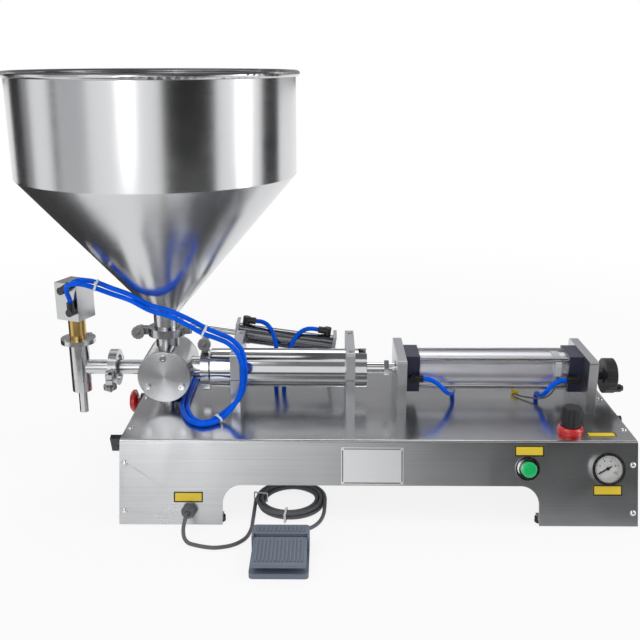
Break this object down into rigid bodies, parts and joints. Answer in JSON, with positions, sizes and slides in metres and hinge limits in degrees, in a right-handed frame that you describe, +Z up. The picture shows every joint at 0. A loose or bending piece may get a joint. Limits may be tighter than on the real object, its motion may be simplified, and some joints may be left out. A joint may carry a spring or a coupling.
{
  "type": "pneumatic piston paste filling machine",
  "caption": "Tabletop paste filler: a cone hopper over a rotary valve, a horizontal measuring piston driven by an air cylinder, a shut-off nozzle and a foot pedal on a coiled lead.",
  "frame": {"origin": "on the table, under the centre of the box around the machine and its pedal", "axes": "+X along the line of cylinders, from the nozzle to the handwheel; +Y to the back; +Z up"},
  "size_m": [1.0016, 0.5764, 0.673],
  "materials": {
    "brushed_steel": "brushed stainless sheet",
    "polished_steel": "polished stainless steel",
    "turned_steel": "turned stainless steel",
    "satin_plate": "satin plate with a milky anodised skin",
    "drawn_tube": "clear anodised drawn tube",
    "navy_paint": "dark navy anodised blocks",
    "dark_barrel": "dark grey cylinder body",
    "grey_casting": "grey painted lever and bracket",
    "brass": "plain turned brass",
    "black_rubber": "black rubber",
    "seal_rubber": "dark seal rubber",
    "white_seal": "white seal plastic",
    "black_plastic": "black moulded plastic",
    "black_matte": "matt black moulded plastic",
    "grey_plastic": "grey moulded plastic",
    "red_plastic": "red moulded plastic",
    "orange_ring": "red ring",
    "green_cap": "green push button",
    "yellow_label": "yellow label",
    "silver_plate": "bare silver plate",
    "white_dial": "white dial",
    "blue_tube": "blue polyurethane tube",
    "grey_cord": "dark grey cable sheath",
    "white_nylon": "white nylon tie",
    "pedal_blue": "blue grey moulded plastic",
    "dark_knurl": "dark cast nut"
  },
  "bodies": {
    "machine": {"base_cover": "brushed_steel", "side_panels": "brushed_steel", "rubber_feet": "black_rubber", "panel_screws": "turned_steel", "nameplate": "silver_plate", "label_plates": "yellow_label", "gauge_case": "polished_steel", "gauge_dial": "white_dial", "start_button_body": "polished_steel", "estop_body": "black_plastic", "selector_body": "black_plastic", "regulator_body": "black_matte", "regulator_ring": "orange_ring", "cable_gland": "grey_plastic", "air_inlet_fitting": "black_plastic", "air_valve_block": "grey_casting", "clamp_bases": "satin_plate", "clamp_caps": "satin_plate", "plate_bolts": "turned_steel", "cylinder_plates": "satin_plate", "measuring_cylinder": "polished_steel", "air_cylinder_tube": "drawn_tube", "air_cylinder_caps": "navy_paint", "tie_rods": "turned_steel", "reed_switch": "grey_plastic", "valve_body": "turned_steel", "valve_covers": "turned_steel", "actuator_cylinder": "dark_barrel", "actuator_brackets": "satin_plate", "hopper": "polished_steel", "pipe_gaskets": "white_seal", "pipe_clamps": "turned_steel", "nozzle_body": "polished_steel", "brass_guide": "brass", "nozzle_air_cylinder": "drawn_tube", "air_fittings": "black_plastic", "air_tubes": "blue_tube", "cable_ties": "white_nylon", "pedal_base": "pedal_blue", "pedal_cord": "grey_cord", "pedal_cord_coil": "grey_cord"},
    "piston_carriage": {"measuring_piston": "turned_steel", "piston_rod": "polished_steel", "air_piston": "turned_steel"},
    "valve_shaft": {"valve_rotor": "turned_steel", "valve_lever": "grey_casting"},
    "actuator_rod": {"actuator_rod": "polished_steel"},
    "nozzle_plunger": {"nozzle_plunger": "turned_steel"},
    "stop_pad": {"stop_pad": "seal_rubber"},
    "handwheel": {"handwheel": "black_matte"},
    "crank_handle": {"crank_handle": "black_plastic"},
    "start_button_cap": {"start_button_cap": "green_cap"},
    "estop_head": {"estop_head": "red_plastic"},
    "regulator_knob": {"regulator_knob": "black_matte"},
    "selector_knob": {"selector_knob": "black_plastic"},
    "gauge_pointer": {"gauge_pointer": "black_matte"},
    "pedal_plate": {"pedal_plate": "pedal_blue"},
    "hopper_clamp_nut": {"hopper_clamp_nut": "dark_knurl"},
    "nozzle_clamp_nut": {"nozzle_clamp_nut": "dark_knurl"},
    "cylinder_clamp_nut": {"cylinder_clamp_nut": "dark_knurl"}
  },
  "joints": [
    {"name": "piston_slide", "type": "slide", "parent": "machine", "child": "piston_carriage", "axis": [-1, 0, 0], "range_m": [0, 0.18]},
    {"name": "valve_turn", "type": "hinge", "parent": "machine", "child": "valve_shaft", "pos_m": [-0.2733, 0.06075, 0.184], "axis": [0, 1, 0], "range_deg": [0, 60]},
    {"name": "actuator_slide", "type": "slide", "parent": "machine", "child": "actuator_rod", "axis": [0.9903, 0, -0.1392], "range_m": [0, 0.0555]},
    {"name": "plunger_lift", "type": "slide", "parent": "machine", "child": "nozzle_plunger", "axis": [0, 0, 1], "range_m": [0, 0.018]},
    {"name": "stop_screw_travel", "type": "slide", "parent": "machine", "child": "stop_pad", "axis": [-1, 0, 0], "range_m": [0, 0.0241]},
    {"name": "handwheel_turn", "type": "hinge", "parent": "stop_pad", "child": "handwheel", "pos_m": [0.4687, 0.06075, 0.171], "axis": [-1, 0, 0], "range_deg": [0, 4320]},
    {"name": "crank_spin", "type": "hinge", "parent": "handwheel", "child": "crank_handle", "pos_m": [0.488, 0.04813, 0.15298], "axis": [1, 0, 0], "continuous": true},
    {"name": "start_button_press", "type": "slide", "parent": "machine", "child": "start_button_cap", "axis": [0, 0.9563, -0.2924], "range_m": [0, 0.004], "stiffness_N_per_m": 400, "springref_m": -0.002},
    {"name": "estop_press", "type": "slide", "parent": "machine", "child": "estop_head", "axis": [1, 0, 0], "range_m": [0, 0.005]},
    {"name": "regulator_turn", "type": "hinge", "parent": "machine", "child": "regulator_knob", "pos_m": [0.3807, -0.07625, 0.127], "axis": [0, 0, 1], "range_deg": [0, 1080]},
    {"name": "selector_turn", "type": "hinge", "parent": "machine", "child": "selector_knob", "pos_m": [-0.3233, -0.08425, 0.11], "axis": [-1, 0, 0], "range_deg": [0, 90]},
    {"name": "gauge_pointer_turn", "type": "hinge", "parent": "machine", "child": "gauge_pointer", "pos_m": [0.4287, -0.12124, 0.08779], "axis": [0, 0.9563, -0.2924], "range_deg": [0, 240], "stiffness_Nm_per_rad": 0.001, "springref_deg": -17.19},
    {"name": "pedal_press", "type": "hinge", "parent": "machine", "child": "pedal_plate", "pos_m": [-0.0693, -0.22475, 0.024], "axis": [1, 0, 0], "range_deg": [0, 8], "stiffness_Nm_per_rad": 1.5, "springref_deg": -8.59},
    {"name": "hopper_clamp_turn", "type": "hinge", "parent": "machine", "child": "hopper_clamp_nut", "pos_m": [-0.3193, 0.05145, 0.251], "axis": [0, -1, 0], "continuous": true},
    {"name": "nozzle_clamp_turn", "type": "hinge", "parent": "machine", "child": "nozzle_clamp_nut", "pos_m": [-0.3653, 0.01574, 0.17073], "axis": [0, 0.0872, -0.9962], "continuous": true},
    {"name": "cylinder_clamp_turn", "type": "hinge", "parent": "machine", "child": "cylinder_clamp_nut", "pos_m": [-0.2093, 0.05145, 0.23], "axis": [0, -1, 0], "continuous": true}
  ],
  "couplings": [
    {"joint": "actuator_slide", "follows": "valve_turn", "m_per_rad": 0.052928},
    {"joint": "stop_screw_travel", "follows": "handwheel_turn", "m_per_rad": 0.00031831}
  ]
}
